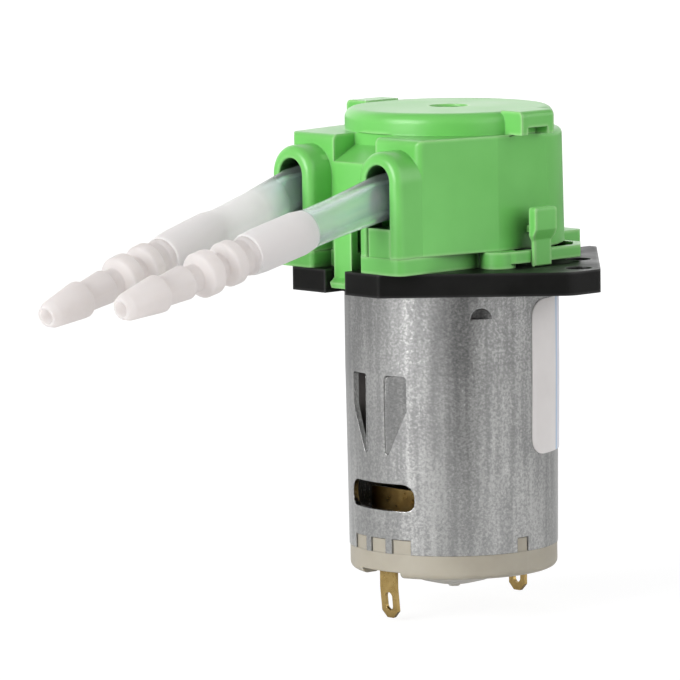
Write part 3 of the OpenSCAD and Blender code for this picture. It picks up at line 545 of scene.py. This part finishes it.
def freeEnd(run, side, end):
    # rings from the tube's end to its port: centre, half width, half height, bore share, haze, shade
    way = direction(end["swing"], -end["drop"])
    start = Vector((side * run["port"][0], run["port"][1], run["port"][2]))
    clearest, milkiest = run["haze"]
    rings = []
    for back in run["stations"]:
        along = end["length"] - back
        if along < run["portGap"]:
            break
        # stretched over the stem, less so at the lip
        onStem = share01((run["stemEnd"] - back) / run["stemTaper"])
        lip = run["lip"] + (1 - run["lip"]) * share01(back / run["lipLength"])
        swell = run["stretch"] * lip * onStem
        if back == 0:
            swell -= run["lipRound"]
        flare = max(0.0, 1 - along / run["flareLength"])
        wide, high = (run["radius"] + swell + (half - run["radius"]) * flare for half in run["hoodHalf"])
        freeShare, stemShare = run["bore"] / run["radius"], run["stemBore"] / (run["radius"] + run["stretch"])
        bore = freeShare + (stemShare - freeShare) * onStem
        milky = share01((end["milkyEnd"] + end["milkyFade"] - back) / end["milkyFade"])
        haze = clearest + (milkiest - clearest) * milky
        shade = share01(1 - along / run["shadeLength"])
        rings.append((start + way * along, wide, high, bore, haze, shade))
    return rings


def headRings(run, side):
    # from the port to the race: centre, half width, half height, bore share
    wide, high = run["hoodHalf"]
    x, y, z = run["port"]
    level = run["raceHeight"]
    squeezed = run["raceRadius"]
    rings = [((x, y, z), wide, high, 0.6), ((x, -18.2, level - 0.25), wide, high, 0.6),
             ((x + 0.05, -15.5, level - 0.05), wide, high, 0.55), ((x + 1, -12, level), wide - 0.05, high, 0.45),
             ((squeezed - 2.55, -9, level), 1.7, 3.1, 0.2), ((squeezed - 1.4, -6.2, level), 1.25, 3.3, 0.05)]
    return [(Vector((side * c[0], c[1], c[2])), w, h, bore, run["insideHaze"], 1.0) for c, w, h, bore in rings]


def raceRings(run):
    # round the race, pressed flat
    rings = []
    for i in range(run["raceSteps"] + 1):
        a = radians(run["raceStart"] + (180 - 2 * run["raceStart"]) * i / run["raceSteps"])
        centre = Vector((run["raceRadius"] * cos(a), run["raceRadius"] * sin(a), run["raceHeight"]))
        rings.append((centre, *run["raceHalf"], run["squeezedBore"], run["insideHaze"], 1.0))
    return rings


def ringPoints(rings, i, inner, sides):
    # points of one ring, on the bore's wall where inner is set
    ahead = rings[min(i + 1, len(rings) - 1)][0] - rings[max(i - 1, 0)][0]
    way = ahead.normalized()
    level = Vector((way.y, -way.x, 0)).normalized()
    rise = way.cross(level)
    centre, wide, high, share = rings[i][:4]
    if inner:
        wide, high = wide * share, high * share
    return [(centre + level * (wide * x) + rise * (high * y)) * mm for x, y in circle(sides)]


def makeTube(run):
    rings = (freeEnd(run, 1, run["near"]) + headRings(run, 1) + raceRings(run) + headRings(run, -1)[::-1]
             + freeEnd(run, -1, run["far"])[::-1])
    count, sides = len(rings), run["sides"]
    # the skin runs out of one bore, along the outside and into the other bore
    nearDepth, farDepth = (len(freeEnd(run, 1, run[end])) + run["boreRings"] for end in ("near", "far"))
    order = ([(i, True) for i in range(nearDepth, -1, -1)] + [(i, False) for i in range(count)]
             + [(i, True) for i in range(count - 1, count - 2 - farDepth, -1)])
    points = [point for i, inner in order for point in ringPoints(rings, i, inner, sides)]
    faces = []
    for j in range(len(order) - 1):
        for k in range(sides):
            a, b = j * sides + k, j * sides + (k + 1) % sides
            faces.append((a, b, b + sides, a + sides))
    faces.append(tuple(range(sides - 1, -1, -1)))
    faces.append(tuple((len(order) - 1) * sides + k for k in range(sides)))
    mesh = bpy.data.meshes.new("siliconeTube")
    mesh.from_pydata(points, [], faces)
    for name, place in (("haze", 4), ("shade", 5)):
        values = mesh.attributes.new(name, "FLOAT", "POINT")
        values.data.foreach_set("value", [rings[i][place] for i, inner in order for k in range(sides)])
    along = [0.0]
    for first, second in zip(rings, rings[1:]):
        along.append(along[-1] + (second[0] - first[0]).length)
    wrap = mesh.attributes.new("wrap", "FLOAT_VECTOR", "POINT")
    wrap.data.foreach_set("vector", [value for i, inner in order for spot in circle(sides)
                                     for value in (*spot, run["streakPitch"] * along[i])])
    bm = bmesh.new()
    bm.from_mesh(mesh)
    bmesh.ops.recalc_face_normals(bm, faces=bm.faces)
    bm.to_mesh(mesh)
    bm.free()
    tube = bpy.data.objects.new("siliconeTube", mesh)
    bpy.context.scene.collection.objects.link(tube)
    mesh.materials.append(finishes["silicone"])
    shadeSmooth(tube, 40)
    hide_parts("pump_tube")
    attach(tube, "housing")


makeTube(tubeRun)
print("tube made")


# Studio: white floor and background, soft lights

studio = {
    "floorGap": 0.4 * mm, "floorSize": 6.0, "roughness": 0.7, "glow": 1.12,
    "shadowShare": 0.22, "shadowFade": (0.05, 0.16),
    "sheet": [(0.1, (0.92, 0.92, 0.92)), (1.0, (0.42, 0.42, 0.42))], "sheetReach": 0.6,
    "dimmed": (58, 0, 4, 26, 0.55),
}


def makeFloor(look):
    low = cadBox[0][2] - look["floorGap"]
    mesh = bpy.data.meshes.new("floor")
    half = look["floorSize"] / 2
    corners = [(x * half, y * half, low) for x, y in ((-1, -1), (1, -1), (1, 1), (-1, 1))]
    mesh.from_pydata(corners, [], [(0, 1, 2, 3)])
    floor = bpy.data.objects.new("floor", mesh)
    bpy.context.scene.collection.objects.link(floor)
    mat, tree, shader = startMaterial("paleFloor")
    shader.inputs["Roughness"].default_value = look["roughness"]
    shader.inputs["Specular IOR Level"].default_value = 0
    glow = put(tree, "ShaderNodeEmission", Color=(1, 1, 1, 1), Strength=look["glow"])
    # painted light: the sheet is painted paler near the part and darker away from it, and its shadow fades out
    # away from the part
    away = put(tree, "ShaderNodeVectorMath", operation="LENGTH")
    tree.links.new(objectCoords(tree), away.inputs[0])
    sheet = ramp(tree, remap(tree, away.outputs["Value"], 0, 1, 0, look["sheetReach"]), look["sheet"])
    # painted shade: the sheet is painted darker on the side of the dark flag
    outward = put(tree, "ShaderNodeVectorMath", operation="NORMALIZE")
    tree.links.new(objectCoords(tree), outward.inputs[0])
    paintedShade = facing(tree, outward.outputs["Vector"], look["dimmed"])
    tree.links.new(blend(tree, paintedShade, sheet, (0, 0, 0)), shader.inputs["Base Color"])
    share = remap(tree, away.outputs["Value"], 1 - look["shadowShare"], 1, *look["shadowFade"])
    above = mixShaders(tree, seenDirectly(tree, share), shader.outputs["BSDF"], glow.outputs["Emission"])
    # the sheet's underside is clear, so that the part shows from below too
    side = put(tree, "ShaderNodeNewGeometry")
    clear = put(tree, "ShaderNodeBsdfTransparent")
    sheet = mixShaders(tree, side.outputs["Backfacing"], above, clear.outputs["BSDF"])
    tree.links.new(sheet, tree.nodes["Material Output"].inputs["Surface"])
    mesh.materials.append(mat)


def seenDirectly(tree, share=None):
    # 1 on camera rays and behind clear walls, times share
    path = put(tree, "ShaderNodeLightPath")
    seen = put(tree, "ShaderNodeMath", operation="ADD", use_clamp=True)
    tree.links.new(path.outputs["Is Camera Ray"], seen.inputs[0])
    tree.links.new(path.outputs["Transmission Depth"], seen.inputs[1])
    if share is None:
        return seen.outputs["Value"]
    times = put(tree, "ShaderNodeMath", operation="MULTIPLY")
    tree.links.new(seen.outputs["Value"], times.inputs[0])
    tree.links.new(share, times.inputs[1])
    return times.outputs["Value"]


def facing(tree, vector, patch):
    # strength of a soft round patch: azimuth, elevation, half angles of its core and of its fade, strength
    azimuth, elevation, core, fade, strength = patch
    towards = put(tree, "ShaderNodeVectorMath", operation="DOT_PRODUCT")
    tree.links.new(vector, towards.inputs[0])
    towards.inputs[1].default_value = direction(azimuth, elevation)
    return remap(tree, towards.outputs["Value"], 0, strength, cos(radians(fade)), cos(radians(core)))


room = {"floorward": 0.14, "upward": 0.12, "turnsAt": (-0.1, 0.9)}
cards = {  # pale cards round the part and one dark flag, each as facing takes it
    "leftCard": (-5, 12, 10, 26, 2.3),
    "rearLeftCard": (-105, 8, 24, 46, 0.7),
    "rightCard": (114, 7, 20, 48, 2.2),
    "rearCard": (220, 9, 34, 62, 0.86),
    "darkFlag": (57, 6, 6, 26, -0.12),
}


def makeWorld(room, cards):
    # the camera sees plain white, the part is lit by the room and its cards
    world = bpy.data.worlds.new("studioWorld")
    bpy.context.scene.world = world
    world.use_nodes = True
    tree = world.node_tree
    backdrop = tree.nodes["Background"]
    backdrop.inputs["Color"].default_value = (1, 1, 1, 1)
    coords = put(tree, "ShaderNodeTexCoord")
    split = put(tree, "ShaderNodeSeparateXYZ")
    tree.links.new(coords.outputs["Generated"], split.inputs["Vector"])
    total = remap(tree, split.outputs["Z"], room["floorward"], room["upward"], *room["turnsAt"])
    for patch in cards.values():
        add = put(tree, "ShaderNodeMath", operation="ADD")
        tree.links.new(total, add.inputs[0])
        tree.links.new(facing(tree, coords.outputs["Generated"], patch), add.inputs[1])
        total = add.outputs["Value"]
    fill = put(tree, "ShaderNodeBackground", Color=(1, 1, 1, 1))
    tree.links.new(total, fill.inputs["Strength"])
    mix = mixShaders(tree, seenDirectly(tree), fill.outputs["Background"], backdrop.outputs["Background"])
    tree.links.new(mix, tree.nodes["World Output"].inputs["Surface"])


lamps = {  # direction as azimuth and elevation from the part, distance in metres, size in metres, watts
    "keyLamp": {"azimuth": -2, "elevation": 18, "distance": 0.7, "size": (0.4, 0.4), "power": 3.8},
    "topLamp": {"azimuth": 120, "elevation": 78, "distance": 0.7, "size": (0.5, 0.5), "power": 0.12},
}


def makeLamp(name, look):
    away = direction(look["azimuth"], look["elevation"])
    data = bpy.data.lights.new(name, "AREA")
    data.shape = "RECTANGLE"
    data.size, data.size_y = look["size"]
    data.energy = look["power"]
    lamp = bpy.data.objects.new(name, data)
    turn = away.to_track_quat("Z", "Y").to_matrix().to_4x4()
    lamp.matrix_world = Matrix.Translation(away * look["distance"]) @ turn
    bpy.context.scene.collection.objects.link(lamp)


makeFloor(studio)
makeWorld(room, cards)
for lampName, lampLook in lamps.items():
    makeLamp(lampName, lampLook)
print("studio lit")
